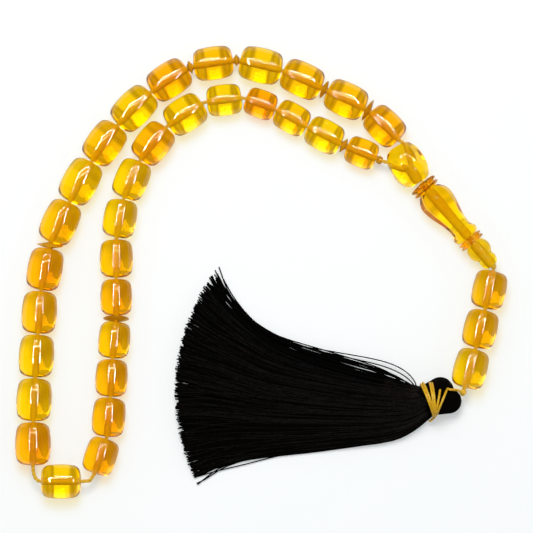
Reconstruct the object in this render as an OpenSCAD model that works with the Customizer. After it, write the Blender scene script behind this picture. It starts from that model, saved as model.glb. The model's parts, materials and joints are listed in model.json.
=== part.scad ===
// Misbaha: 31 turned resin beads on one closed cord, leaf discs between some of
// them, a drilled connector, the imam and its rings, a tail of three beads and a tassel.
// It lies flat on a surface at z = 0, seen from above with +X to the right.

/* [Beads] */
// Diameter of a bead of no length: diameter = base + growth * length
bead_base_d = 2.9; // [2.5:0.1:3.1]
// Growth of the diameter with the length
bead_growth = 0.6; // [0.55:0.01:0.62]
// Largest bead diameter
bead_max_d = 10.3; // [9.8:0.1:10.4]
// Diameter of the three tail beads
tail_bead_d = 9.7; // [9.2:0.1:10]
// Rounding of a bead's rim, as a share of its diameter
rim_share = 0.25; // [0.15:0.01:0.3]
// Radius of a bead's domed end, as a share of its diameter
dome_share = 1.3; // [1.1:0.1:2]
// Free space between two neighbours on the cord
gap = 0.45; // [0.4:0.05:0.6]

/* [Cord] */
// Diameter of the cord
cord_d = 1.1; // [0.8:0.1:1.2]
// Diameter of a bead's bore
bore_d = 1.8; // [1.7:0.1:2]
// Diameter of the bores that take two runs of cord
wide_bore_d = 2.8; // [2.7:0.1:3]
// Distance between the two runs of cord in a wide bore
pair_pitch = 1.24; // [1.22:0.01:1.3]
// Diameter of the knot behind the finial
knot_d = 1.7; // [1.4:0.1:1.8]
// Cord left out on each side of a place where the strand bends
joint_slit = 0.15; // [0.1:0.05:0.2]
// Cord left out on each side of the place where the loop is opened
open_slit = 0.35; // [0.3:0.05:0.5]

/* [Leaf discs] */
// Diameter of a leaf disc
leaf_d = 7.4; // [6.5:0.1:7.6]
// Thickness of a leaf disc at its middle
leaf_t = 1.3; // [1:0.1:1.5]
// Diameter of the small leaf disc beside the connector
small_leaf_d = 5.4; // [4.5:0.1:5.6]

/* [Connector and imam] */
// Diameter of the connector at its waist
connector_d = 10.8; // [10.4:0.1:11]
// Distance across the connector's eight flats
connector_flats = 10.2; // [9.8:0.1:10.4]
// Diameter of the connector's end faces
connector_end_d = 6.4; // [5.5:0.1:7]
// Length of the connector
connector_l = 12; // [11:0.5:12]
// Diameter of the fluted disc
fluted_d = 8.4; // [7.5:0.1:8.8]
// Thickness of the fluted disc
fluted_t = 1.1; // [0.8:0.1:1.2]
// Number of flutes
flutes = 14; // [10:1:18]
// Diameter of the smooth ring
ring_d = 8.2; // [7.5:0.1:8.6]
// Thickness of the smooth ring
ring_t = 1.3; // [1:0.1:1.4]
// Length of the imam
imam_l = 17.6; // [16:0.1:18]
// Diameter of the imam's shoulder
shoulder_d = 10.1; // [9:0.1:10.2]
// Diameter of the imam's neck
neck_d = 6.2; // [5.6:0.1:7]
// Diameter of the imam's foot
foot_d = 7.8; // [7.2:0.1:8.4]
// Number of the imam's lengthwise facets
imam_facets = 8; // [6:1:10]
// Diameter of the double ring
double_ring_d = 7.6; // [7:0.1:8]
// Thickness of the double ring
double_ring_t = 2; // [1.6:0.1:2.2]
// Diameter of the finial's bulb
bulb_d = 6.9; // [6:0.1:7.2]
// Diameter of the finial's end ball
ball_d = 5.2; // [4.6:0.1:5.6]
// Length of the finial
finial_l = 8.2; // [7.6:0.1:8.2]

/* [Tassel] */
// Diameter of the head's upper lobe
lobe_d = 7.6; // [6.8:0.1:7.8]
// Diameter of the neck under the tie
tie_neck_d = 8.6; // [8:0.1:9]
// Diameter of the gold tie cord
tie_d = 1; // [0.8:0.1:1.1]
// Height of the skirt beside the neck
skirt_high = 7.6; // [6:0.1:8]
// Height of the skirt at its cut end
skirt_low = 3; // [2:0.1:4]

/* [Hidden] */
$fn = 64;
FINE = 160;           // for shallow curves
CORD_SIDES = 8;
END_DOME = 13;        // radius of a domed bead end, for the room that a bend of the cord needs
FACE_GAP = 0.2;       // between the turned pieces of the imam group
SKIRT_STEPS = 12;     // points across the skirt

// Cord route of the outer strand, from the connector to the lower end of the 15th bead
OUTER = [
    [39.5, 36.8], [30.5, 45.5], [18, 51.5], [6, 57], [-7.2, 60], [-20.5, 58],
    [-31.8, 50.8], [-41.3, 41.2], [-48.7, 30.7], [-55, 19], [-60.5, 6.5],
    [-63, -6.5], [-63.8, -19], [-64.5, -31.5], [-65, -44], [-65, -56.6]
];
OUTER_LEAVES = [1, 2, 4, 5, 10];
// The bead that lies across the bottom of the loop
BOTTOM = [[-63, -61], [-51, -61]];
// Where the loop is opened, beside that bead
OPENING = [-48.8, -60.8];
// Cord route of the inner strand, from the lower end of the 17th bead to the strand's pivot
INNER = [
    [-47.5, -59], [-44, -48.5], [-43, -37], [-42.5, -26], [-41.5, -14.5],
    [-41.5, -3], [-41.5, 8.5], [-39.5, 20], [-34.9, 31], [-27.2, 40.8],
    [-16.4, 47.8], [-5, 49.2], [4.2, 45.8], [13.2, 40.8], [23.6, 35.4], [33.8, 31.2],
    [35.4, 30.7]
];
INNER_LEAVES = [4, 14, 15];
MITRE = 10;           // inner route point where strands a and b join
ELBOW = 6;            // inner route point where strands b and c join
// Connector: middle and heading, and along, across and above it where its outer bore opens
// and where the bores meet
CONNECTOR = [41.9, 29.75];
CONNECTOR_HEADING = -58.5;
OUTER_MOUTH = [-6, 2.2, 0];
BORE_MEETING = [1, 0, 0];
// Imam group: both ends of its straight axis
IMAM_LINE = [[45.7, 24.6], [66.1, 0.6]];
// Cord route of the tail, from the knot behind the finial to the tassel's knot
TAIL = [[66.3, -0.6], [63.8, -11.9], [61.1, -23.1], [58, -34.6]];
TASSEL_KNOT = [57.3, -36];
// Tassel: middles of the head's lobes, middle of the neck and its heading
LOBES = [[50.9, -35.1], [53.4, -38]];
LOBE_SHARES = [1, 0.92];
NECK = [47.4, -38];
NECK_HEADING = 198;
// Tie: where its turns meet on the lower side of the neck, and where each turn crosses the upper side
TIE_FOOT = [49.7, -42.4];
TIE_TOPS = [[53, -34.8], [48.4, -33], [46.8, -33.2]];
// Cord route of the tie from the tassel's knot over the crease of the head
TIE_LEAD = [[57.3, -36, 5.1], [55.6, -35.4, 6.6], [54.2, -35, 7.6], [53, -34.9, 6.6]];
// Skirt: upper and lower edge points from past the neck to the cut end, and the bulge of the line between
SKIRT_UPPER = [[43, -33.2], [35, -31], [20, -27], [4, -20.5], [-8, -10.5], [-14.5, -2]];
SKIRT_LOWER = [[43, -46.6], [36, -49.5], [20, -51.5], [3, -53.5], [-10, -56], [-19, -59.5]];
SKIRT_BULGE = [0, 0, 0.5, 1, 2, 4, 7.5];
SKIRT_EDGE = 1.2;     // height of the skirt's rim

// ---- Vectors ----
function unit(v) = v / norm(v);
function heading(a, b) = atan2(b.y - a.y, b.x - a.x);
function bisector(p, k) = unit(unit(p[k] - p[k - 1]) + unit(p[k + 1] - p[k]));
// Half of the angle by which a route turns at its point k, 0 at both ends
function half_turn(p, k) =
    k <= 0 || k >= len(p) - 1 ? 0 : acos(min(1, unit(p[k] - p[k - 1]) * bisector(p, k)));
function at_height(p, z) = [p.x, p.y, z];
function turned(v, a) = [v.x * cos(a) - v.y * sin(a), v.x * sin(a) + v.y * cos(a)];
function curve(a, b, c, steps) =
    [for (i = [0:steps]) let (t = i / steps) (1 - t) * (1 - t) * a + 2 * t * (1 - t) * b + t * t * c];

// ---- Routes with a straight stretch in every leaf disc ----
function leaves_up_to(leaves, k) = len([for (q = leaves) if (q <= k) q]);
function has_leaf(leaves, k) = len([for (q = leaves) if (q == k) q]) > 0;
function with_leaves(p, leaves) = [
    for (k = [0:len(p) - 1])
        each has_leaf(leaves, k)
            ? [p[k] - (leaf_t + gap / 2) / 2 * bisector(p, k), p[k] + (leaf_t + gap / 2) / 2 * bisector(p, k)]
            : [p[k]]
];
outer = with_leaves(OUTER, OUTER_LEAVES);
inner = with_leaves(INNER, INNER_LEAVES);
function bead_start(leaves, k) = k + leaves_up_to(leaves, k);

// ---- Sizes of the bead on the stretch of route from point i to the next ----
function end_room(p, i) = gap / 2 + END_DOME * (1 / cos(half_turn(p, i)) - 1);
function bead_length(p, i) = norm(p[i + 1] - p[i]) - end_room(p, i) - end_room(p, i + 1);
function bead_d(l) = min(bead_max_d, bead_base_d + bead_growth * l);
function bead_middle(p, i) =
    p[i] + unit(p[i + 1] - p[i]) * (end_room(p, i) + bead_length(p, i) / 2);
// A bead rests on the surface, and a leaf disc hangs on the cord between its neighbours
function is_leaf(p, i) = norm(p[i + 1] - p[i]) < 2 * leaf_t;
function axis_z(p, i) =
    !is_leaf(p, i) ? bead_d(bead_length(p, i)) / 2
    : i == len(p) - 2 ? axis_z(p, i - 2)
    : (axis_z(p, i - 1) + axis_z(p, i + 1)) / 2;
function cord_z(p, k) =
    (axis_z(p, max(0, k - 1)) + axis_z(p, min(len(p) - 2, k))) / 2;
function cord_route(p, first, last) = [for (k = [first:last]) at_height(p[k], cord_z(p, k))];

// ---- Derived places ----
connector_z = connector_flats / 2;
imam_z = connector_z;
tail_z = tail_bead_d / 2;
bottom_z = bead_d(bead_length(BOTTOM, 0)) / 2;
strand_pivot = at_height(inner[len(inner) - 1], cord_z(inner, len(inner) - 1));
function on_connector(p) = at_height(CONNECTOR + turned(p, CONNECTOR_HEADING), connector_z + p.z);
function from_connector(p) =
    at_height(turned([p.x, p.y] - CONNECTOR, -CONNECTOR_HEADING), p.z - connector_z);
imam_dir = unit(IMAM_LINE[1] - IMAM_LINE[0]);
imam_side = turned(imam_dir, 90);
disc_s = FACE_GAP * 2 + fluted_t / 2;
ring_s = disc_s + fluted_t / 2 + FACE_GAP + ring_t / 2;
imam_s = ring_s + ring_t / 2 + FACE_GAP;
double_ring_s = imam_s + imam_l + FACE_GAP + double_ring_t / 2;
finial_s = double_ring_s + double_ring_t / 2 + FACE_GAP;
knot_s = finial_s + finial_l + knot_d / 4;

// ---- Cord: a tube swept along a route, with a mitred ring at every point ----
function side_at(p, k) =
    let (before = unit(p[max(1, k)] - p[max(1, k) - 1]),
         after = unit(p[min(len(p) - 1, k + 1)] - p[min(len(p) - 1, k + 1) - 1]),
         along = unit(before + after),
         side = unit(cross([0, 0, 1], along)))
    [along, side / max(0.8, before * along)];
module cord(p, d = cord_d) {
    n = CORD_SIDES;
    rings = [
        for (k = [0:len(p) - 1])
            let (f = side_at(p, k), up = cross(f[0], unit(f[1])))
                for (i = [0:n - 1])
                    p[k] + d / 2 * (cos(360 * (i + 0.5) / n) * f[1] + sin(360 * (i + 0.5) / n) * up)
    ];
    walls = [
        for (k = [0:len(p) - 2])
            for (i = [0:n - 1])
                each [
                    [k * n + i, (k + 1) * n + i, (k + 1) * n + (i + 1) % n],
                    [k * n + i, (k + 1) * n + (i + 1) % n, k * n + (i + 1) % n]
                ]
    ];
    ends = [
        for (i = [1:n - 2])
            each [[0, i, i + 1], let (e = (len(p) - 1) * n) [e, e + i + 1, e + i]]
    ];
    polyhedron(points = rings, faces = concat(walls, ends), convexity = 6);
}
// A route with its first and last point moved along it by the two amounts
function shortened(p, first, last) = let (e = len(p) - 1) [
    for (k = [0:e])
        k == 0 ? p[0] + first * unit(p[1] - p[0])
        : k == e ? p[e] - last * unit(p[e] - p[e - 1])
        : p[k]
];

// ---- Turned pieces, made along Z about their middle ----
module lying(p, z, a) {
    translate([p.x, p.y, z]) rotate([0, 90, a]) children();
}
module bore(l, d = bore_d) {
    cylinder(h = l + 2, d = d, center = true);
}
module bead_profile(l, d) {
    rim = rim_share * d;
    dome = dome_share * d;
    rim_x = d / 2 - rim;
    dome_y = l / 2 - dome;
    rim_y = dome_y + sqrt((dome - rim) * (dome - rim) - rim_x * rim_x);
    meet_x = rim_x * dome / (dome - rim);
    for (s = [-1, 1]) scale([1, s]) {
        square([d / 2, rim_y]);
        translate([rim_x, rim_y]) circle(r = rim);
        intersection() {
            square([meet_x, l]);
            translate([0, dome_y]) circle(r = dome, $fn = FINE);
        }
    }
}
module bead(l, d) {
    color("goldenrod", 0.7) difference() {
        rotate_extrude() bead_profile(l, d);
        bore(l);
    }
}
module strung_bead(p, i) {
    l = bead_length(p, i);
    lying(bead_middle(p, i), axis_z(p, i), heading(p[i], p[i + 1])) bead(l, bead_d(l));
}
module lens_profile(d, t) {
    r = (d * d / 4 + t * t / 4) / t;
    intersection() {
        translate([0, -t]) square([d, t * 2]);
        translate([0, t / 2 - r]) circle(r = r, $fn = FINE * 2);
        translate([0, r - t / 2]) circle(r = r, $fn = FINE * 2);
    }
}
module leaf_disc(d, t) {
    color("darkorange", 0.7) difference() {
        rotate_extrude($fn = FINE) lens_profile(d, t);
        bore(t);
    }
}
function leaf_start(leaves, n) = leaves[n] + leaves_up_to(leaves, leaves[n]) - 1;
module strung_leaf(p, leaves, n, d = leaf_d) {
    i = leaf_start(leaves, n);
    lying((p[i] + p[i + 1]) / 2, axis_z(p, i), heading(p[i], p[i + 1])) leaf_disc(d, leaf_t);
}
module loop_bead(n) {
    if (n <= 15) strung_bead(outer, bead_start(OUTER_LEAVES, n - 1));
    else if (n == 16) strung_bead(BOTTOM, 0);
    else strung_bead(inner, bead_start(INNER_LEAVES, n - 17));
}
module tail_bead(n) {
    l = bead_length(TAIL, n - 1);
    lying(bead_middle(TAIL, n - 1), tail_z, heading(TAIL[n - 1], TAIL[n])) bead(l, tail_bead_d);
}

// ---- Connector and the imam group ----
module connector_bore(mouth) {
    reach = 1.5 * (mouth - BORE_MEETING);
    translate([0, BORE_MEETING.y, BORE_MEETING.x])
        rotate([0, acos(reach.x / norm(reach)), atan2(reach.y, -reach.z)])
            cylinder(h = norm(reach), d = bore_d);
}
module connector() {
    sag = (connector_d - connector_end_d) / 2;
    barrel_r = (connector_l * connector_l / 4 + sag * sag) / (2 * sag);
    lying(CONNECTOR, connector_z, CONNECTOR_HEADING) color("orange", 0.7) difference() {
        intersection() {
            rotate_extrude() intersection() {
                translate([0, -connector_l / 2]) square([connector_d, connector_l]);
                translate([connector_d / 2 - barrel_r, 0]) circle(r = barrel_r, $fn = FINE);
            }
            rotate(22.5) cylinder(h = connector_l, d = connector_flats / cos(22.5), $fn = 8, center = true);
        }
        translate([0, 0, BORE_MEETING.x]) cylinder(h = connector_l, d = wide_bore_d);
        translate([0, 0, BORE_MEETING.x]) sphere(d = wide_bore_d);
        connector_bore(OUTER_MOUTH);
        connector_bore(from_connector(strand_pivot));
    }
}
module on_imam_line(s) {
    p = IMAM_LINE[0] + s * imam_dir;
    lying(p, imam_z, heading(IMAM_LINE[0], IMAM_LINE[1])) children();
}
module fluted_disc() {
    flute_d = 1.5 * PI * fluted_d / flutes / 2;
    on_imam_line(disc_s) color("darkorange", 0.7) difference() {
        cylinder(h = fluted_t, d = fluted_d, center = true);
        bore(fluted_t, wide_bore_d);
        for (i = [0:flutes - 1]) rotate(360 / flutes * i)
            translate([fluted_d / 2 + flute_d / 5, 0, 0])
                cylinder(h = fluted_t + 1, d = flute_d, center = true, $fn = 24);
    }
}
module round_ring(d, t) {
    translate([d / 2 - t / 2, 0]) circle(d = t);
}
module smooth_ring() {
    on_imam_line(ring_s) color("darkorange", 0.7) rotate_extrude() {
        round_ring(ring_d, ring_t);
        translate([wide_bore_d / 2, -ring_t * 0.4]) square([(ring_d - ring_t - wide_bore_d) / 2, ring_t * 0.8]);
    }
}
function imam_r(t) =
    let (shoulder_t = 0.2, neck_t = 0.8, foot_t = 0.93, crown_r = shoulder_d * 0.33)
    t < shoulder_t ? crown_r + (shoulder_d / 2 - crown_r) * sin(90 * t / shoulder_t)
    : t < neck_t ? neck_d / 2 + (shoulder_d - neck_d) / 4 * (1 + cos(180 * (t - shoulder_t) / (neck_t - shoulder_t)))
    : t < foot_t ? neck_d / 2 + (foot_d - neck_d) / 4 * (1 - cos(180 * (t - neck_t) / (foot_t - neck_t)))
    : foot_d / 2 - (t - foot_t) / (1 - foot_t) * 0.5;
module imam() {
    steps = 20;
    on_imam_line(imam_s) color("orange", 0.7) difference() {
        rotate_extrude($fn = imam_facets) polygon(concat(
            [[0, 0]], [for (i = [0:steps]) [imam_r(i / steps), i / steps * imam_l]], [[0, imam_l]]));
        translate([0, 0, -1]) cylinder(h = imam_l + 2, d = wide_bore_d);
    }
}
module double_ring() {
    one = double_ring_t * 0.54;
    core = (double_ring_d - one - wide_bore_d) / 2;
    on_imam_line(double_ring_s) color("darkorange", 0.7) rotate_extrude() {
        for (s = [-1, 1]) translate([0, s * (double_ring_t - one) / 2]) round_ring(double_ring_d, one);
        translate([wide_bore_d / 2, -double_ring_t * 0.45]) square([core, double_ring_t * 0.9]);
    }
}
module finial() {
    bulb_y = bulb_d * 0.33;
    ball_y = finial_l - ball_d * 0.4;
    on_imam_line(finial_s) color("orange", 0.7) difference() {
        rotate_extrude() intersection() {
            square([bulb_d, finial_l]);
            union() {
                translate([0, bulb_y]) circle(d = bulb_d);
                translate([0, ball_y]) circle(d = ball_d);
                square([ball_d * 0.42, finial_l - 1]);
            }
        }
        translate([0, 0, -1]) cylinder(h = finial_l + 2, d = wide_bore_d);
    }
}
module finial_knot() {
    p = IMAM_LINE[0] + knot_s * imam_dir;
    color("orange") translate(at_height(p, imam_z)) sphere(d = knot_d);
}

// ---- The cord's stretches ----
bottom_run = concat(
    [at_height(OUTER[15], cord_z(outer, len(outer) - 1))],
    curve([-65, -57.6, bottom_z], [-65, -61, bottom_z], [-63.2, -61, bottom_z], 5),
    [for (p = BOTTOM) at_height(p, bottom_z)],
    [at_height([-50.2, -61], bottom_z)]
);
// From the connector's lower end to the middle of the bore that leads to the mouth
function in_connector(mouth, side) = [
    on_connector([connector_l / 2, side * pair_pitch / 2, 0]),
    on_connector([BORE_MEETING.x, side * pair_pitch / 2, 0]),
    on_connector(BORE_MEETING + 0.7 * wide_bore_d * unit(mouth - BORE_MEETING))
];
module loop_cord() {
    color("goldenrod") {
        cord(concat(
            in_connector(OUTER_MOUTH, 1),
            [on_connector(OUTER_MOUTH)],
            cord_route(outer, 0, len(outer) - 2),
            shortened(concat(bottom_run, [at_height(OPENING, bottom_z)]), 0, open_slit)));
        cord(shortened(
            concat(in_connector(from_connector(strand_pivot), -1), [strand_pivot]), 0, joint_slit));
    }
}
// Point of the inner route, with the leaf discs' points counted in
function inner_index(k) = bead_start(INNER_LEAVES, k);
module strand_cord_a() {
    color("goldenrod") cord(shortened(
        cord_route(inner, inner_index(MITRE), len(inner) - 1), joint_slit, joint_slit));
}
module strand_cord_b() {
    color("goldenrod") cord(shortened(
        cord_route(inner, inner_index(ELBOW), inner_index(MITRE)), joint_slit, joint_slit));
}
module strand_cord_c() {
    start = cord_route(inner, 0, inner_index(ELBOW));
    color("goldenrod") cord(shortened(concat(
        [at_height(OPENING, start[0].z)], start), open_slit, joint_slit));
}
module imam_cord() {
    l = knot_s - knot_d / 2 - joint_slit;
    color("goldenrod") on_imam_line(joint_slit + l / 2)
        for (s = [-1, 1]) translate([0, s * pair_pitch / 2, 0]) cylinder(h = l, d = cord_d, center = true);
}
module tail_cord(n) {
    a = at_height(TAIL[n - 1], tail_z);
    b = at_height(TAIL[n], tail_z);
    color("goldenrod") cord(shortened([a, b], joint_slit, joint_slit));
}

// ---- Tassel ----
neck_z = tie_neck_d / 2 + 0.6;
module head_lobe(i, back) {
    d = lobe_d * LOBE_SHARES[i];
    hull() {
        translate(at_height(LOBES[i], d / 2)) sphere(d = d, $fn = 28);
        translate(at_height(NECK, neck_z)) rotate([0, 90, NECK_HEADING])
            translate([0, 0, -1 - back]) cylinder(h = 1, d = tie_neck_d - back, $fn = 28);
    }
}
module tassel_head() {
    color("#151515") {
        head_lobe(0, 0);
        head_lobe(1, 0.6);
    }
}
neck_side = turned([tie_neck_d / 2, 0], NECK_HEADING - 90);
skirt_upper = concat([NECK + neck_side], SKIRT_UPPER);
skirt_lower = concat([NECK - neck_side], SKIRT_LOWER);
function skirt_place(s, t) =
    (1 - t) * skirt_lower[s] + t * skirt_upper[s] - [4 * t * (1 - t) * SKIRT_BULGE[s], 0];
function skirt_z(s, t) =
    let (last = len(SKIRT_BULGE) - 1, h = skirt_high + (skirt_low - skirt_high) * s / last)
    SKIRT_EDGE + (h - SKIRT_EDGE) * sqrt(max(0, 1 - pow(2 * t - 1, 2)));
module tassel_skirt() {
    stations = len(SKIRT_BULGE);
    across = SKIRT_STEPS + 1;
    layer = stations * across;
    tops = [for (s = [0:stations - 1]) for (i = [0:SKIRT_STEPS]) let (t = i / SKIRT_STEPS)
        at_height(skirt_place(s, t), skirt_z(s, t))];
    floors = [for (p = tops) at_height(p, 0)];
    function at(s, i) = s * across + i;
    top_faces = [for (s = [0:stations - 2]) for (i = [0:SKIRT_STEPS - 1])
        each [[at(s, i), at(s, i + 1), at(s + 1, i + 1)], [at(s, i), at(s + 1, i + 1), at(s + 1, i)]]];
    floor_faces = [for (f = top_faces) [f[0] + layer, f[2] + layer, f[1] + layer]];
    rim = concat(
        [for (s = [0:stations - 1]) at(s, 0)],
        [for (i = [1:SKIRT_STEPS]) at(stations - 1, i)],
        [for (s = [1:stations - 1]) at(stations - 1 - s, SKIRT_STEPS)],
        [for (i = [1:SKIRT_STEPS - 1]) at(0, SKIRT_STEPS - i)]);
    rim_faces = [for (k = [0:len(rim) - 1]) let (a = rim[k], b = rim[(k + 1) % len(rim)])
        each [[a, b, b + layer], [a, b + layer, a + layer]]];
    color("#101010") polyhedron(
        points = concat(tops, floors), faces = concat(top_faces, floor_faces, rim_faces), convexity = 4);
}
module tie_turn(foot, top) {
    r = norm(top - foot) / 2;
    translate(at_height((foot + top) / 2, r + tie_d / 2)) rotate([0, 90, heading(foot, top) + 90])
        rotate_extrude() translate([r, 0]) circle(d = tie_d);
}
module tassel_tie() {
    color("gold") {
        translate(TIE_LEAD[0]) sphere(d = 2.2);
        cord(TIE_LEAD, tie_d);
        for (top = TIE_TOPS) tie_turn(TIE_FOOT, top);
    }
}

loop_bead(1);  // bead_01
loop_bead(2);  // bead_02
loop_bead(3);  // bead_03
loop_bead(4);  // bead_04
loop_bead(5);  // bead_05
loop_bead(6);  // bead_06
loop_bead(7);  // bead_07
loop_bead(8);  // bead_08
loop_bead(9);  // bead_09
loop_bead(10);  // bead_10
loop_bead(11);  // bead_11
loop_bead(12);  // bead_12
loop_bead(13);  // bead_13
loop_bead(14);  // bead_14
loop_bead(15);  // bead_15
loop_bead(16);  // bead_16
loop_bead(17);  // bead_17
loop_bead(18);  // bead_18
loop_bead(19);  // bead_19
loop_bead(20);  // bead_20
loop_bead(21);  // bead_21
loop_bead(22);  // bead_22
loop_bead(23);  // bead_23
loop_bead(24);  // bead_24
loop_bead(25);  // bead_25
loop_bead(26);  // bead_26
loop_bead(27);  // bead_27
loop_bead(28);  // bead_28
loop_bead(29);  // bead_29
loop_bead(30);  // bead_30
loop_bead(31);  // bead_31
strung_leaf(outer, OUTER_LEAVES, 0);  // leaf_disc_1
strung_leaf(outer, OUTER_LEAVES, 1);  // leaf_disc_2
strung_leaf(outer, OUTER_LEAVES, 2);  // leaf_disc_3
strung_leaf(outer, OUTER_LEAVES, 3);  // leaf_disc_4
strung_leaf(outer, OUTER_LEAVES, 4);  // leaf_disc_5
strung_leaf(inner, INNER_LEAVES, 0);  // leaf_disc_6
strung_leaf(inner, INNER_LEAVES, 1);  // leaf_disc_7
strung_leaf(inner, INNER_LEAVES, 2, small_leaf_d);  // leaf_disc_8
connector();
fluted_disc();
smooth_ring();
imam();
double_ring();
finial();
tail_bead(1);  // tail_bead_1
tail_bead(2);  // tail_bead_2
tail_bead(3);  // tail_bead_3
loop_cord();
strand_cord_a();
strand_cord_b();
strand_cord_c();
imam_cord();
finial_knot();
tail_cord(1);  // tail_cord_1
tail_cord(2);  // tail_cord_2
tail_cord(3);  // tail_cord_3
tassel_head();
tassel_skirt();
tassel_tie();
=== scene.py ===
"""Looks for the misbaha: clear turned resin on twisted cord, a silk tassel and a white table."""

import json
import math
import random

import bpy
import bmesh
from mathutils import Matrix, Vector, noise

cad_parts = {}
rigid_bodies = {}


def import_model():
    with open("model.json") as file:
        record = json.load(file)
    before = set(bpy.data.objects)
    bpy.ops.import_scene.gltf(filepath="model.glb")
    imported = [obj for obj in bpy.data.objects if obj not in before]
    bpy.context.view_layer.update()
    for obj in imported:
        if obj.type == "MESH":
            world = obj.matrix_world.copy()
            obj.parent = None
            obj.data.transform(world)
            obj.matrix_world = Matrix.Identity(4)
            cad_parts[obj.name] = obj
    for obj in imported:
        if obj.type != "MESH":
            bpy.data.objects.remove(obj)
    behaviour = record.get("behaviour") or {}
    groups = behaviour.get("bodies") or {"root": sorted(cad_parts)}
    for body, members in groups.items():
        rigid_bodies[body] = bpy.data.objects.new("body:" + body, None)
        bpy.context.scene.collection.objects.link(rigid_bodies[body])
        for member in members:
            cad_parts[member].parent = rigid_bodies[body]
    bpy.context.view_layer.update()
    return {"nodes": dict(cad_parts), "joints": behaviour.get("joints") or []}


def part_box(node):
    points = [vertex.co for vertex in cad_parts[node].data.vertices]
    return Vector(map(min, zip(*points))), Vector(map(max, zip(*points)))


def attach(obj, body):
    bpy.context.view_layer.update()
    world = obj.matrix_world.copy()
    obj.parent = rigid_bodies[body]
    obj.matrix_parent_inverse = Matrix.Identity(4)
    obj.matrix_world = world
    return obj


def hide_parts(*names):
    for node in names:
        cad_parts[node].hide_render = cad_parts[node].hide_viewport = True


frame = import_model()

MM = 0.001
TAU = 2 * math.pi
NODES = frame["nodes"]
JOINTS = {j["child"]: j for j in frame["joints"]}
UP = Vector((0, 0, 1))
FLOOR_Z = -0.05 * MM  # just below the beads, with room for the light patches
scene = bpy.context.scene


# ---------------------------------------------------------------- small helpers
def mix(a, b, t):
    return a + (b - a) * t


def smooth(edge0, edge1, x):
    t = min(1.0, max(0.0, (x - edge0) / (edge1 - edge0)))
    return t * t * (3 - 2 * t)


def new_object(name, data):
    o = bpy.data.objects.new(name, data)
    scene.collection.objects.link(o)
    return o


def around(side, top, a):
    """Direction at angle a from side towards top."""
    return side * math.cos(a) + top * math.sin(a)


def finish_mesh(name, bm, crease=math.radians(40)):
    bmesh.ops.recalc_face_normals(bm, faces=bm.faces)
    mesh = bpy.data.meshes.new(name)
    bm.to_mesh(mesh)
    bm.free()
    for p in mesh.polygons:
        p.use_smooth = True
    mesh.set_sharp_from_angle(angle=crease)
    return new_object(name, mesh)


def axis_of(node):
    """Point on a turned piece's axis and the axis itself, from its own joint."""
    j = JOINTS[node]
    return Vector(j["pos_m"]), Vector(j["axis"]).normalized()


def reach_of(node):
    """How far a turned node reaches along its axis, low and high, and away from it."""
    at, along = axis_of(node)
    low, high, out = 1e9, -1e9, 0.0
    for v in NODES[node].data.vertices:
        d = v.co - at
        s = d.dot(along)
        low, high = min(low, s), max(high, s)
        out = max(out, (d - along * s).length)
    return low, high, out


def turned(name, axis, rings, segments=96, closed=True):
    """A piece of revolution about an axis (point, direction), from rings (s, radius).

    A radius may be a function of the angle.
    """
    at, along = axis
    side = UP.cross(along).normalized()
    top = along.cross(side)
    bm = bmesh.new()
    loops = []
    for s, radius in rings:
        loop = []
        for k in range(segments):
            a = TAU * k / segments
            r = radius(a) if callable(radius) else radius
            loop.append(bm.verts.new(at + along * s + around(top, side, a) * r))
        loops.append(loop)
    for i in range(len(loops) if closed else len(loops) - 1):
        a, b = loops[i], loops[(i + 1) % len(loops)]
        for k in range(segments):
            bm.faces.new((a[k], a[(k + 1) % segments], b[(k + 1) % segments], b[k]))
    return finish_mesh(name, bm)


# ---------------------------------------------------------------- materials
def material(name):
    m = bpy.data.materials.new(name)
    m.use_nodes = True
    m.node_tree.nodes.clear()
    return m, m.node_tree.nodes, m.node_tree.links


def add(nodes, kind, **values):
    n = nodes.new(kind)
    for key, value in values.items():
        setattr(n, key, value)
    return n


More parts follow.
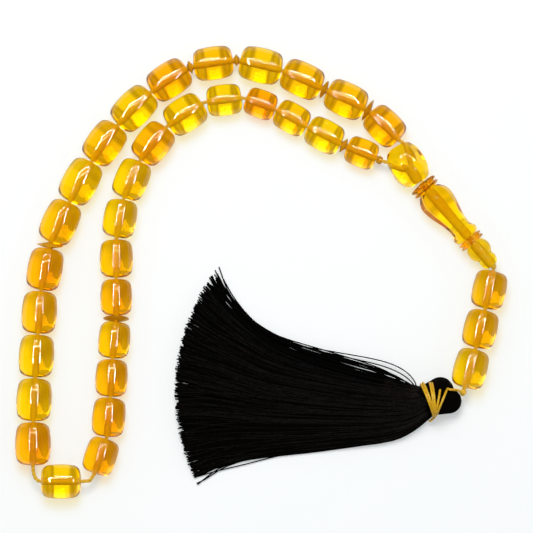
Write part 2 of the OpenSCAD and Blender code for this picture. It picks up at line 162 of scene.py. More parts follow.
def resin(name, tone, strength=1.0, cloud=0.0, ior=1.5):
    """Amber resin. tone 0 is lemon yellow and 1 is deep orange; cloud 0 is clear."""
    m, nodes, links = material(name)
    out = add(nodes, "ShaderNodeOutputMaterial")
    body = add(nodes, "ShaderNodeBsdfPrincipled")
    green, blue = mix(0.93, 0.84, tone) - 0.4 * cloud, mix(0.34, 0.26, tone) - 0.52 * cloud
    body.inputs["Base Color"].default_value = (1.0, green, blue, 1)
    body.inputs["Transmission Weight"].default_value = 1.0 - cloud
    body.inputs["IOR"].default_value = ior
    # faint polishing marks and cloudy streaks
    where = add(nodes, "ShaderNodeTexCoord")
    streak = add(nodes, "ShaderNodeTexNoise")
    streak.inputs["Scale"].default_value = 160.0
    streak.inputs["Detail"].default_value = 3.0
    links.new(where.outputs["Object"], streak.inputs["Vector"])
    rough = add(nodes, "ShaderNodeMapRange")
    rough.inputs["From Min"].default_value = 0.4
    rough.inputs["From Max"].default_value = 0.75
    rough.inputs["To Min"].default_value = 0.002
    rough.inputs["To Max"].default_value = 0.01
    links.new(streak.outputs["Fac"], rough.inputs["Value"])
    links.new(rough.outputs["Result"], body.inputs["Roughness"])
    bump = add(nodes, "ShaderNodeBump")
    bump.inputs["Strength"].default_value = 0.02
    bump.inputs["Distance"].default_value = 0.0002
    links.new(streak.outputs["Fac"], bump.inputs["Height"])
    links.new(bump.outputs["Normal"], body.inputs["Normal"])
    depth = add(nodes, "ShaderNodeVolumeAbsorption")
    depth.inputs["Color"].default_value = (0.994, mix(0.918, 0.782, tone), 0.0, 1)
    depth.inputs["Density"].default_value = mix(450.0, 520.0, tone) * strength
    links.new(depth.outputs["Volume"], out.inputs["Volume"])
    # light that only passes through on its way to the table goes straight on, tinted
    passing = add(nodes, "ShaderNodeBsdfTransparent")
    passing.inputs["Color"].default_value = (0.9, mix(0.87, 0.84, tone), mix(0.76, 0.69, tone), 1)
    path = add(nodes, "ShaderNodeLightPath")
    either = add(nodes, "ShaderNodeMath", operation="MAXIMUM")
    links.new(path.outputs["Is Shadow Ray"], either.inputs[0])
    links.new(path.outputs["Is Diffuse Ray"], either.inputs[1])
    pick = add(nodes, "ShaderNodeMixShader")
    links.new(either.outputs[0], pick.inputs["Fac"])
    links.new(body.outputs["BSDF"], pick.inputs[1])
    links.new(passing.outputs["BSDF"], pick.inputs[2])
    links.new(pick.outputs["Shader"], out.inputs["Surface"])
    return m


def thread(name, dark, light, scale, roughness, specular):
    """Twisted yarn: two colours that follow the strand's fibres, and a fine bump."""
    m, nodes, links = material(name)
    out = add(nodes, "ShaderNodeOutputMaterial")
    body = add(nodes, "ShaderNodeBsdfPrincipled")
    body.inputs["Specular IOR Level"].default_value = specular
    body.inputs["Roughness"].default_value = roughness
    where = add(nodes, "ShaderNodeTexCoord")
    fibre = add(nodes, "ShaderNodeTexNoise")
    fibre.inputs["Scale"].default_value = scale
    fibre.inputs["Detail"].default_value = 4.0
    fibre.inputs["Roughness"].default_value = 0.65
    links.new(where.outputs["Object"], fibre.inputs["Vector"])
    ramp = add(nodes, "ShaderNodeValToRGB")
    ramp.color_ramp.elements[0].position = 0.35
    ramp.color_ramp.elements[0].color = (*dark, 1)
    ramp.color_ramp.elements[1].position = 0.68
    ramp.color_ramp.elements[1].color = (*light, 1)
    links.new(fibre.outputs["Fac"], ramp.inputs["Fac"])
    links.new(ramp.outputs["Color"], body.inputs["Base Color"])
    bump = add(nodes, "ShaderNodeBump")
    bump.inputs["Strength"].default_value = 0.5
    bump.inputs["Distance"].default_value = 0.00008
    links.new(fibre.outputs["Fac"], bump.inputs["Height"])
    links.new(bump.outputs["Normal"], body.inputs["Normal"])
    links.new(body.outputs["BSDF"], out.inputs["Surface"])
    return m


TONES = {  # how orange each bead is, in the order they are strung
    1: 0.62, 2: 0.4, 3: 0.35, 4: 0.1, 5: 0.4, 6: 0.62, 7: 0.22, 8: 0.3, 9: 0.15, 10: 0.45,
    11: 0.6, 12: 0.35, 13: 0.12, 14: 0.22, 15: 0.62, 16: 0.05, 17: 0.5, 18: 0.55, 19: 0.5,
    20: 0.45, 21: 0.62, 22: 0.4, 23: 0.2, 24: 0.2, 25: 0.62, 26: 0.15, 27: 0.05, 28: 0.95,
    29: 0.45, 30: 0.15, 31: 0.5,
}
TAIL_TONES = {1: 0.4, 2: 0.35, 3: 0.15}
SHADES = [resin(f"resin_{i}", i / 5) for i in range(6)]
DEEP = resin("resin_deep", 0.9, 0.9)
IMAM = resin("resin_imam", 0.2, ior=1.33)
PALE = resin("resin_pale", 0.9, 0.5, 0.45)


def shade(tone):
    """The one of the six resins for a bead of that tone."""
    return SHADES[round(max(0.0, tone - 0.18) * 5)]


CORD = thread("cord_yarn", (0.80, 0.42, 0.02), (1.0, 0.70, 0.07), 2600.0, 0.6, 0.2)
GOLD = thread("gold_yarn", (0.62, 0.33, 0.004), (1.0, 0.62, 0.02), 2400.0, 0.34, 0.35)
SILK = thread("black_silk", (0.0005, 0.0005, 0.0006), (0.0018, 0.0018, 0.0024), 1500.0, 0.6, 0.02)
# lighter copy of the black silk for the top threads: a painted highlight, with a glossier finish
# that also catches the lamps
SILK_PAINTED_LIT = thread("silk_painted_lit", (0.001, 0.001, 0.0012), (0.011, 0.011, 0.013), 1500.0, 0.4, 0.1)


# ---------------------------------------------------------------- beads
BORE_R = 0.68 * MM
SIDE_R = 22 * MM     # of the barrel's long side
DOME_R = 14 * MM     # of its ends
RIM_SHARE = 0.24     # of the rounded rim, as a share of the diameter
UNEVEN = 0.0018      # waves of the polished side, as a share of the radius
SWELL = 0.13 * MM    # beads touch their neighbours, except where the string bends
BESIDE_PIVOT = {"bead_16", "bead_17", "bead_22", "bead_23", "bead_26", "bead_27",
                "tail_bead_1", "tail_bead_2", "tail_bead_3"}
FROST = thread("drilled_wall", (0.95, 0.58, 0.0), (1.0, 0.74, 0.002), 900.0, 0.9, 0.0)


def frost(piece, bores):
    """Give the walls of the bores (point, axis, radius), left matt by the drill, their material."""
    piece.data.materials.append(FROST)
    for p in piece.data.polygons:
        for at, along, radius in bores:
            d = p.center - at
            if (d - along * d.dot(along)).length < radius * 1.04:
                p.material_index = 1


def arc(centre, radius, start, end, steps):
    turns = [mix(start, end, k / steps) for k in range(steps + 1)]
    return [(centre[0] + radius * math.cos(a), centre[1] + radius * math.sin(a)) for a in turns]


def bead_rings(low, high, radius):
    """Domed end, rounded rim and barrelled side of a bead, closed by its bore."""
    half, middle = (high - low) / 2, (high + low) / 2
    rim = RIM_SHARE * 2 * radius
    side_at, dome_at = (0.0, radius - SIDE_R), (half - DOME_R, 0.0)
    a, b = SIDE_R - rim, DOME_R - rim
    dx, dy = dome_at[0] - side_at[0], dome_at[1] - side_at[1]
    d = math.hypot(dx, dy)
    along = (a * a - b * b + d * d) / (2 * d)
    off = math.sqrt(a * a - along * along)
    rim_at = (side_at[0] + (dx * along + dy * off) / d, side_at[1] + (dy * along - dx * off) / d)
    side_a = math.atan2(rim_at[1] - side_at[1], rim_at[0] - side_at[0])
    dome_a = math.atan2(rim_at[1] - dome_at[1], rim_at[0] - dome_at[0])
    lip = 0.1 * MM
    profile = (arc(dome_at, DOME_R, math.asin((BORE_R + lip) / DOME_R), dome_a, 8)[:-1]
               + arc(rim_at, rim, dome_a, side_a, 14)[:-1]
               + arc(side_at, SIDE_R, side_a, math.pi / 2, 9))
    end = profile[0][0]
    outside = [(-x, r) for x, r in profile] + [(x, r) for x, r in reversed(profile[:-1])]
    bore = [(mix(end - lip, lip - end, k / 9), BORE_R) for k in range(10)]
    return [(middle + x, r) for x, r in outside + bore]


def uneven(rings, seed):
    """The same rings with the slight waves of a hand-polished side."""
    out = []
    for s, r in rings:
        if r <= BORE_R * 1.3:
            out.append((s, r))
            continue
        def radius(a, s=s, r=r):
            p = Vector((math.cos(a) * 0.9, math.sin(a) * 0.9, s / MM * 0.16 + seed * 7.3))
            return r * (1 + UNEVEN * noise.noise(p))
        out.append((s, radius))
    return out


def make_bead(node, tone, seed):
    low, high, radius = reach_of(node)
    swell = 0 if node in BESIDE_PIVOT else SWELL
    rings = bead_rings(low - swell, high + swell, radius)
    piece = turned(node + "_resin", axis_of(node), uneven(rings, seed))
    piece.data.materials.append(shade(tone))
    frost(piece, [(*axis_of(node), BORE_R)])
    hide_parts(node)
    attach(piece, node)


BEADS = [f"bead_{k:02d}" for k in range(1, 32)]
for k, node in enumerate(BEADS, 1):
    make_bead(node, TONES[k], k)
for k, tone in TAIL_TONES.items():
    make_bead(f"tail_bead_{k}", tone, 40 + k)


# ---------------------------------------------------------------- leaf discs
LEAF_LEAN = {1: (4, 5), 2: (-3, 8), 3: (5, -6), 4: (-4, 7),  # yaw and pitch of each disc, degrees
             5: (11, 12), 6: (2, 10), 7: (-6, 6), 8: (7, -7)}
LEAF_SIZE = {1: 0.95, 2: 0.75, 3: 0.5, 4: 0.55,  # radius of each disc, as a share of the solid's
             5: 1.05, 6: 1.0, 7: 0.65, 8: 0.5}
LEAF_THICK = 0.6  # from its middle plane, as a share of the solid's thickness
COLLAR_R, COLLAR_HALF = 1.15 * MM, 0.85 * MM


def make_leaf(node):
    low, high, radius = reach_of(node)
    number = int(node[-1])
    t, radius = LEAF_THICK * (high - low), radius * LEAF_SIZE[number]
    at, along = axis_of(node)
    yaw, pitch = (math.radians(a) for a in LEAF_LEAN[number])
    along = Matrix.Rotation(yaw, 3, UP) @ Matrix.Rotation(pitch, 3, UP.cross(along)) @ along
    rings, steps = [], 18
    for side in (1, -1):
        for i in range(steps):
            r = mix(BORE_R * 1.05, radius, (i if side > 0 else steps - i) / steps)
            lens = t * (1 - (r / radius) ** 2)
            rings.append((side * lens, r))
    piece = turned(node + "_resin", (at, along), rings, segments=72)
    piece.data.materials.append(PALE)
    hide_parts(node)
    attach(piece, node)
    # the rolled collar at its middle
    collar = []
    for i in range(25):
        a = math.pi * (i / 24 - 0.5)
        waist = 1 - 0.22 * math.exp(-((math.sin(a) / 0.3) ** 2))
        collar.append((COLLAR_HALF * math.sin(a),
                       BORE_R * 1.02 + (COLLAR_R - BORE_R) * math.cos(a) ** 0.7 * waist))
    ring = turned(node + "_collar", axis_of(node), collar, segments=40)
    ring.data.materials.append(DEEP)
    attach(ring, node)


for k in LEAF_SIZE:
    make_leaf(f"leaf_disc_{k}")


# ---------------------------------------------------------------- connector
CONNECTOR_AT = Vector((41.9, 29.75, 5.1)) * MM
CONNECTOR_TURN = math.radians(-58.5)
CONNECTOR_HALF = 6 * MM
CONNECTOR_R, CONNECTOR_END = 5.4 * MM, 3.2 * MM  # in the middle and at its ends
CONNECTOR_FLAT = 5.1 * 0.985 * MM   # from the axis to its eight flats
EDGE_ROUND = 0.12 * MM              # of the edges between flats
OUTER_MOUTH = Vector((-6, 2.2, 0)) * MM  # of the outer strand's bore, along and across the axis
BORES_MEET = Vector((1, 0, 0)) * MM      # where the two upper bores meet in the lower one
PAIR_START = Vector((5.6, 0.5, 0)) * MM  # where the outer strand's end lies in the lower one
PAIR_BORE_R = 1.1 * MM

connector_along = Vector((math.cos(CONNECTOR_TURN), math.sin(CONNECTOR_TURN), 0))
connector_across = UP.cross(connector_along)
run_a = connector_across * PAIR_START.y  # the two cords lie side by side in the lower bore


def on_connector(p):
    return CONNECTOR_AT + connector_along * p.x + connector_across * p.y


def pivot(body):
    return Vector(JOINTS[body]["pos_m"])


def soft_min(a, b, k):
    """The smaller of two radii, with the edge between them rounded over k."""
    h = max(k - abs(a - b), 0.0) / k
    return min(a, b) - h * h * k / 4


def flats(a, apothem, count, edge_up=False):
    """Radius at angle a of a prism with that many flats."""
    wedge = TAU / count
    from_middle = (a + (0 if edge_up else wedge / 2)) % wedge - wedge / 2
    return apothem / math.cos(from_middle)


def rod(start, end, radius):
    """A solid rod, to cut a bore with."""
    along, length = (end - start).normalized(), (end - start).length
    side = UP.cross(along).normalized()
    top = along.cross(side)
    bm = bmesh.new()
    a, b = [[bm.verts.new(start + along * s + around(top, side, TAU * k / 40) * radius)
             for k in range(40)] for s in (0, length)]
    for k in range(40):
        bm.faces.new((a[k], a[(k + 1) % 40], b[(k + 1) % 40], b[k]))
    bm.faces.new(a)
    bm.faces.new(b)
    return finish_mesh("drill", bm)


def drill(piece, rods):
    """Cut the rods out of the piece."""
    for tool in rods:
        cut = piece.modifiers.new("bore", "BOOLEAN")
        cut.operation, cut.solver, cut.object = "DIFFERENCE", "EXACT", tool
    bpy.context.view_layer.update()
    graph = bpy.context.evaluated_depsgraph_get()
    mesh = bpy.data.meshes.new_from_object(piece.evaluated_get(graph))
    piece.modifiers.clear()
    piece.data = mesh
    for tool in rods:
        bpy.data.objects.remove(tool)
    for p in mesh.polygons:
        p.use_smooth = True
    mesh.set_sharp_from_angle(angle=math.radians(35))


def make_connector():
    sag = CONNECTOR_R - CONNECTOR_END
    barrel = (CONNECTOR_HALF ** 2 + sag * sag) / (2 * sag)
    rings, steps = [], 56
    for i in range(steps + 1):
        s = CONNECTOR_HALF * (2 * i / steps - 1)
        side = CONNECTOR_R - barrel + math.sqrt(barrel * barrel - s * s)
        round_over = 1 - 0.22 * smooth(0.9, 1.0, abs(s) / CONNECTOR_HALF)

        def radius(a, side=side, k=round_over):
            return k * soft_min(side, flats(a, CONNECTOR_FLAT, 8), EDGE_ROUND)
        rings.append((s, radius))
    tip = 0.02 * MM
    rings = [(-CONNECTOR_HALF, tip), *rings, (CONNECTOR_HALF, tip)]
    piece = turned("connector_resin", (CONNECTOR_AT, connector_along), rings, closed=False)
    bm = bmesh.new()
    bm.from_mesh(piece.data)
    bmesh.ops.holes_fill(bm, edges=bm.edges)
    bmesh.ops.recalc_face_normals(bm, faces=bm.faces)
    bm.to_mesh(piece.data)
    bm.free()
    meet = on_connector(BORES_MEET)
    lower = [on_connector(Vector((x, 0, 0)) * MM) for x in (0.6, 8)]
    bores = [(*lower, PAIR_BORE_R),
             (meet + run_a, meet + (on_connector(OUTER_MOUTH) - meet) * 1.5, BORE_R),
             (meet - run_a, meet + (pivot("strand_a") - meet) * 1.5, BORE_R)]
    drill(piece, [rod(*bore) for bore in bores])
    piece.data.materials.append(shade(0.15))
    frost(piece, [(a, (b - a).normalized(), r) for a, b, r in bores])
    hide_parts("connector")
    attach(piece, "loop")


make_connector()


# ---------------------------------------------------------------- imam group
SNUG = 0.2 * MM  # the rings sit closer together than the solids do
IMAM_SHOULDER, IMAM_NECK, IMAM_FOOT = 5.05 * MM, 3.1 * MM, 3.9 * MM
FLUTES = 7
BALL_R, STEM_R = 2.6 * MM, 2.2 * MM  # of the finial


def imam_axis(node):
    """The node's axis, pointing away from the connector."""
    at, along = axis_of(node)
    return (at, along) if along.x > 0 else (at, -along)


def imam_reach(node):
    low, high, radius = reach_of(node)
    return (low, high, radius) if axis_of(node)[1].x > 0 else (-high, -low, radius)


def lined(rings, low, high, steps):
    """Rings of the outside, closed by the bore for both strands."""
    return rings + [(mix(high, low, k / steps), PAIR_BORE_R) for k in range(steps + 1)]


def imam_side(t):
    """Radius of the imam at t, from 0 at its crown to 1 at its foot."""
    shoulder_at, neck_at, foot_at = 0.2, 0.8, 0.93
    if t < shoulder_at:
        return IMAM_SHOULDER * mix(0.66, 1, math.sin(math.pi / 2 * t / shoulder_at))
    if t < neck_at:
        wave = math.cos(math.pi * (t - shoulder_at) / (neck_at - shoulder_at))
        return mix(IMAM_SHOULDER, IMAM_NECK, (1 - wave) / 2)
    if t < foot_at:
        wave = math.cos(math.pi * (t - neck_at) / (foot_at - neck_at))
        return mix(IMAM_NECK, IMAM_FOOT, (1 - wave) / 2)
    return IMAM_FOOT - (t - foot_at) / (1 - foot_at) * 0.5 * MM


def make_imam():
    low, high, _ = imam_reach("imam")
    rings, steps = [], 80
    for i in range(steps + 1):
        t = i / steps
        r = imam_side(t)
        r *= 1 - 0.16 * smooth(0.985, 1.0, t) - 0.12 * smooth(0.012, 0.0, t)

        def radius(a, r=r):
            return soft_min(r * 0.992, flats(a, r * 0.93, 8, True), EDGE_ROUND)
        rings.append((mix(low, high, t), radius))
    piece = turned("imam_resin", imam_axis("imam"), lined(rings, low, high, 20))
    piece.data.materials.append(IMAM)
    frost(piece, [(*imam_axis("imam"), PAIR_BORE_R)])
    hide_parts("imam")
    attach(piece, "imam")


def make_fluted_disc():
    """A disc with a grooved rim. Its near side is not snug, to clear the connector as it swings."""
    low, high, outer = imam_reach("fluted_disc")
    high += SNUG
    inner, rings = PAIR_BORE_R * 1.15, []
    for i in range(17):
        a = math.pi * (1 - i / 16)

        def radius(b, edge=math.sin(a) ** 0.5):
            groove = 0.085 * (1 - abs(math.sin(FLUTES * b)) ** 0.7)
            return mix(inner, outer * (1 - groove), edge)
        rings.append((mix(low, high, 0.5 + 0.5 * math.cos(a)), radius))
    piece = turned("fluted_disc_resin", imam_axis("fluted_disc"),
                   lined(rings, low, high, 4), segments=24 * FLUTES)
    piece.data.materials.append(DEEP)
    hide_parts("fluted_disc")
    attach(piece, "fluted_disc")


def make_ring(node, lobes):
    """A turned ring with one or more rounded ribs."""
    low, high, radius = imam_reach(node)
    low, high = low - SNUG, high + SNUG
    rings, steps = [], 24 * lobes
    for i in range(steps + 1):
        t = i / steps
        bulge = abs(math.sin(math.pi * t * lobes)) ** 0.55
        at_end = lobes == 1 or min(t, 1 - t) < 0.5 / lobes
        inner = PAIR_BORE_R * 1.1 if at_end else radius * 0.72
        rings.append((mix(low, high, t), mix(inner, radius, bulge)))
    piece = turned(node + "_resin", imam_axis(node), lined(rings, low, high, 4))
    piece.data.materials.append(DEEP)
    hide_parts(node)
    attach(piece, node)


def make_finial():
    low, high, bulb = imam_reach("finial")
    bulb_s, ball_s = low + 0.66 * bulb, high - 0.8 * BALL_R
    rings, steps = [], 70
    for i in range(steps + 1):
        s = mix(low, high, i / steps)
        r = STEM_R if s < ball_s else 0
        for at, size in ((bulb_s, bulb), (ball_s, BALL_R)):
            d = (s - at) / size
            if abs(d) < 1:
                r = max(r, size * math.sqrt(1 - d * d))
        rings.append((s, max(r, PAIR_BORE_R * 1.1)))
    for _ in range(2):  # soften the creases
        middle = [(b[0], (a[1] + 2 * b[1] + c[1]) / 4)
                  for a, b, c in zip(rings, rings[1:], rings[2:])]
        rings = [rings[0], *middle, rings[-1]]
    rings[0] = (low, rings[0][1] * 0.82)
    piece = turned("finial_resin", imam_axis("finial"), lined(rings, low, high, 12))
    piece.data.materials.append(IMAM)
    frost(piece, [(*imam_axis("finial"), PAIR_BORE_R)])
    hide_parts("finial")
    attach(piece, "finial")


make_imam()
make_fluted_disc()
make_ring("smooth_ring", 1)
make_ring("double_ring", 2)
make_finial()


# ---------------------------------------------------------------- cord
PLY_STEP = 0.3 * MM
LAY = 2.2 * MM  # length of one turn of the twist


def sampled(points, step):
    """Evenly spaced points along a polyline."""
    out, carry = [points[0].copy()], 0.0
    for a, b in zip(points, points[1:]):
        length = (b - a).length
        s = step - carry
        while s < length:
            out.append(a.lerp(b, s / length))
            s += step
        carry = length - (s - step)
    out.append(points[-1].copy())
    return out


def eased(points, rounds):
    """The same points with their corners smoothed."""
    for _ in range(rounds):
        middle = [(a + b * 2 + c) / 4 for a, b, c in zip(points, points[1:], points[2:])]
        points = [points[0], *middle, points[-1]]
    return points


def bezier(a, b, c):
    """A bend from a to c, drawn towards b."""
    shares = [k / 8 for k in range(9)]
    return [a * (1 - t) ** 2 + b * 2 * t * (1 - t) + c * t * t for t in shares]


def heading(points, i):
    """Direction of a polyline at its point i."""
    return (points[min(i + 1, len(points) - 1)] - points[max(i - 1, 0)]).normalized()


def tube(bm, points, radius, sides):
    """A capped tube along the points."""
    rings = []
    for i, p in enumerate(points):
        along = heading(points, i)
        side = UP.cross(along)
        side = side.normalized() if side.length > 1e-6 else Vector((1, 0, 0))
        top = along.cross(side)
        rings.append([bm.verts.new(p + around(side, top, TAU * k / sides) * radius)
                      for k in range(sides)])
    for a, b in zip(rings, rings[1:]):
        for k in range(sides):
            bm.faces.new((a[k], a[(k + 1) % sides], b[(k + 1) % sides], b[k]))
    bm.faces.new(rings[0])
    bm.faces.new(rings[-1])


def twist(bm, points, ply_r=0.33 * MM, off=0.26 * MM, lay=LAY):
    """Two plies twisted about a smooth path."""
    for turn in (0, 0.5):
        path, run = [], 0.0
        for i, p in enumerate(points):
            run += (p - points[i - 1]).length if i else 0.0
            along = heading(points, i)
            side = UP.cross(along).normalized()
            path.append(p + around(side, along.cross(side), TAU * (run / lay + turn)) * off)
        tube(bm, path, ply_r, 7)


def ends_of(node, toward):
    """Both ends of a strung piece's axis, in the order of the string."""
    at, along = axis_of(node)
    low, high, _ = reach_of(node)
    a, b = at + along * low, at + along * high
    return [a, b] if (a - toward).length < (b - toward).length else [b, a]


def strung(names, start):
    """Route through those pieces from a starting point."""
    route = [start]
    for name in names:
        route += ends_of(name, route[-1])
    return route


def cord_piece(name, body, node, stretches, **yarn):
    """The cord of a node, along one or more routes."""
    bm = bmesh.new()
    for route in stretches:
        twist(bm, eased(sampled(route, PLY_STEP), 3), **yarn)
    piece = finish_mesh(name, bm)
    piece.data.materials.append(CORD)
    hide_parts(node)
    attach(piece, body)


OPENING = Vector((-48.8, -60.8, 4.9)) * MM  # where the loop is open between two of its bodies
outer_names = ["bead_01", "leaf_disc_1", "bead_02", "leaf_disc_2", "bead_03", "bead_04",
               "leaf_disc_3", "bead_05", "leaf_disc_4", *BEADS[5:10], "leaf_disc_5", *BEADS[10:15]]
meet = on_connector(BORES_MEET)
outer_route = strung(outer_names, on_connector(OUTER_MOUTH))
bottom = ends_of("bead_16", outer_route[-1])
down = Vector((0, -1, 0))
corner = Vector((outer_route[-1].x + 0.3 * MM, bottom[0].y, bottom[0].z))
outer_route = ([on_connector(PAIR_START), meet + run_a] + outer_route
               + bezier(outer_route[-1] + down * 0.6 * MM, corner, bottom[0])[1:] + bottom[1:]
               + bezier(bottom[1], bottom[1].lerp(OPENING, 0.6), OPENING)[1:])
stub = [pivot("strand_a"), meet - run_a, on_connector(PAIR_START) - run_a * 2]
cord_piece("loop_yarn", "loop", "loop_cord", [outer_route, stub])

start = OPENING
for name, names in (("c", [*BEADS[16:20], "leaf_disc_6", *BEADS[20:22]]),
                    ("b", BEADS[22:26]),
                    ("a", [*BEADS[26:30], "leaf_disc_7", BEADS[30], "leaf_disc_8"])):
    end = pivot(f"strand_{name}")
    cord_piece(f"strand_{name}_yarn", f"strand_{name}", f"strand_cord_{name}",
               [strung(names, start) + [end]])
    start = end

imam_dir = imam_axis("imam")[1]
finial_end = imam_axis("finial")[0] + imam_dir * imam_reach("finial")[1]
cord_piece("imam_yarn", "imam_strand", "imam_cord", [[pivot("imam_strand"), finial_end]],
           ply_r=0.43 * MM, off=0.45 * MM, lay=70 * MM)  # two strands side by side


def knot(name, at, radius, body, node, along):
    """A small overhand knot of cord: a few turns wound over each other."""
    side = UP.cross(along).normalized()
    rng = random.Random(len(name))
    bm = bmesh.new()
    yarn = radius * 0.36
    for turn in range(4):
        tilt = math.radians(rng.uniform(-30, 30)) + turn * 0.5
        lean = along * math.cos(tilt) + side * math.sin(tilt)
        u = lean.cross(UP).normalized()
        w = lean.cross(u)
        ring = [at + lean * rng.uniform(-0.25, 0.25) * radius
                + around(u, w, a) * (radius - yarn)
                + lean * math.sin(a * 2 + turn) * yarn * 0.5
                for a in (TAU * k / 28 for k in range(29))]
        tube(bm, ring, yarn, 8)
    bmesh.ops.create_icosphere(bm, subdivisions=2, radius=radius - yarn * 0.9,
                               matrix=Matrix.Translation(at))
    piece = finish_mesh(name, bm, math.radians(60))
    piece.data.materials.append(CORD)
    if node:
        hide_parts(node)
    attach(piece, body)


lo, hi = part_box("finial_knot")
knot("finial_knot_yarn", (lo + hi) / 2, (hi.x - lo.x) / 2, "imam_strand", "finial_knot",
     imam_dir)
for k in (1, 2, 3):
    end = pivot(f"tail_{k + 1}") if k < 3 else pivot("tassel")
    cord_piece(f"tail_yarn_{k}", f"tail_{k}", f"tail_cord_{k}", [[pivot(f"tail_{k}"), end]])


# ---------------------------------------------------------------- tassel
# places and sizes in mm, as in the solids
NECK = Vector((47.4, -38))
NECK_HEADING = math.radians(198)
NECK_R, NECK_Z = 4.3, 4.9
LOBES = ((50.9, -35.1, 7.6), (53.4, -38.0, 7.0))  # x, y and width
FAN_UPPER = [(43, -33.2), (35, -31), (20, -27), (4, -20.5), (-8, -10.5), (-14.5, -2)]
FAN_LOWER = [(43, -46.6), (36, -49.5), (20, -51.5), (3, -53.5), (-10, -56), (-19, -59.5)]
FAN_BULGE = [0, 0, 0.5, 1, 2, 4, 7.5]
FAN_HIGH, FAN_LOW = 7.6, 3.0  # of the pile, at the neck and at the cut end
BODY_STRANDS, TOP_STRANDS, LOOSE_TIPS, HEAD_STRANDS = 900, 110, 30, 46

across_neck = NECK_HEADING - math.pi / 2
neck_side = Vector((math.cos(across_neck), math.sin(across_neck))) * NECK_R
fan_upper = [NECK + neck_side] + [Vector(p) for p in FAN_UPPER]
fan_lower = [NECK - neck_side] + [Vector(p) for p in FAN_LOWER]
LAST = len(FAN_BULGE) - 1


def spline(values, s):
    """Smooth value at station s of a list, carried on past its end."""
    k = min(LAST - 1, max(0, int(s)))
    t = s - k
    a, b = values[k], values[k + 1]
    before = values[k - 1] if k > 0 else a * 2 - b
    after = values[k + 2] if k + 2 <= LAST else b * 2 - a
    return (a * 2 + (b - before) * t + (before * 2 - a * 5 + b * 4 - after) * t * t
            + (a * 3 - before - b * 3 + after) * t ** 3) * 0.5


def fan(s, t):
    """Place in the fan: s from 0 at the neck to LAST at the cut end, t from 0 below to 1 above."""
    bulge = Vector((4 * t * (1 - t) * spline(FAN_BULGE, s), 0))
    return spline(fan_lower, s) * (1 - t) + spline(fan_upper, s) * t - bulge


def fan_top(s, t):
    """Height of the pile."""
    high = mix(FAN_HIGH, FAN_LOW, min(1, s / LAST))
    return 0.5 + (high - 0.5) * math.sqrt(max(0, 1 - (2 * min(1, max(0, t)) - 1) ** 2))


def silk_piece(name, strands, node=None, material=SILK, thick=0.17):
    bm = bmesh.new()
    for path in strands:
        tube(bm, [p * MM for p in path], thick * MM, 4)
    piece = finish_mesh(name, bm, math.radians(80))
    piece.data.materials.append(material)
    if node:
        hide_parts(node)
    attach(piece, "tassel")


rng = random.Random(11)


def strand(t0, t1, depth, start=-0.35, end=None, wave=0.006, points=20):
    """One silk thread. depth is 1 on top of the pile and 0 on the table."""
    end = LAST + rng.triangular(-0.2, 0.06, 0.0) if end is None else end
    phase, seed = rng.uniform(0, TAU), rng.uniform(0, 100)
    path = []
    for i in range(points + 1):
        f = i / points
        s = mix(start, end, f)
        ease = f * f * (3 - 2 * f)
        t = mix(t0, t1, mix(f, ease, 0.35)) + wave * math.sin(phase + f * 9) * f
        crimp = noise.noise(Vector((seed, f * 5.0, 0))) * 0.35 * f
        p = fan(max(0.0, s), t)
        if s < 0:
            p = p + (NECK - p) * -s * 0.4 + Vector((3, 1)) * -s
        z = 0.3 + fan_top(max(0, s), t) * depth + crimp * 0.4
        path.append(Vector((p.x, p.y + crimp, max(0.18, z))))
    return path


body_strands = []
for i in range(BODY_STRANDS):
    t = (i + rng.random()) / BODY_STRANDS
    if t > 0.9 and rng.random() < 0.6:  # thinner towards the upper corner
        continue
    depth = 1 - rng.random() ** 2.2 * 0.95
    body_strands.append(strand(t, min(0.995, max(0.004, t + rng.gauss(0, 0.035))), depth))
silk_piece("tassel_threads", body_strands, "tassel_skirt")

top_strands = []
for i in range(TOP_STRANDS):  # painted highlight: their silk is painted lighter than the rest and is glossier, so they also catch the lamps; every fourth crosses the others
    t = rng.random()
    drift = rng.uniform(-0.35, 0.35) if i % 4 == 0 else rng.gauss(0, 0.03)
    top_strands.append(strand(t, min(0.95, max(0.02, t + drift)), 1.02, wave=0.014, points=34))
silk_piece("tassel_top_threads", top_strands, material=SILK_PAINTED_LIT, thick=0.1)


def make_underlay():
    """The dark mass of thread under the ones that show."""
    bm = bmesh.new()
    nu, nv = 40, 24
    grid = []
    for i in range(nu + 1):
        s = mix(0, LAST - 0.3, i / nu)
        row = []
        for j in range(nv + 1):
            t = mix(0.02, mix(0.96, 0.8, smooth(0.3, 0.9, i / nu)), j / nv)
            p = fan(s, t)
            row.append(bm.verts.new(Vector((p.x, p.y, 0.1 + 0.6 * fan_top(s, t))) * MM))
        grid.append(row)
    for i in range(nu):
        for j in range(nv):
            bm.faces.new((grid[i][j], grid[i + 1][j], grid[i + 1][j + 1], grid[i][j + 1]))
    piece = finish_mesh("tassel_underlay", bm)
    piece.data.materials.append(SILK)
    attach(piece, "tassel")


make_underlay()

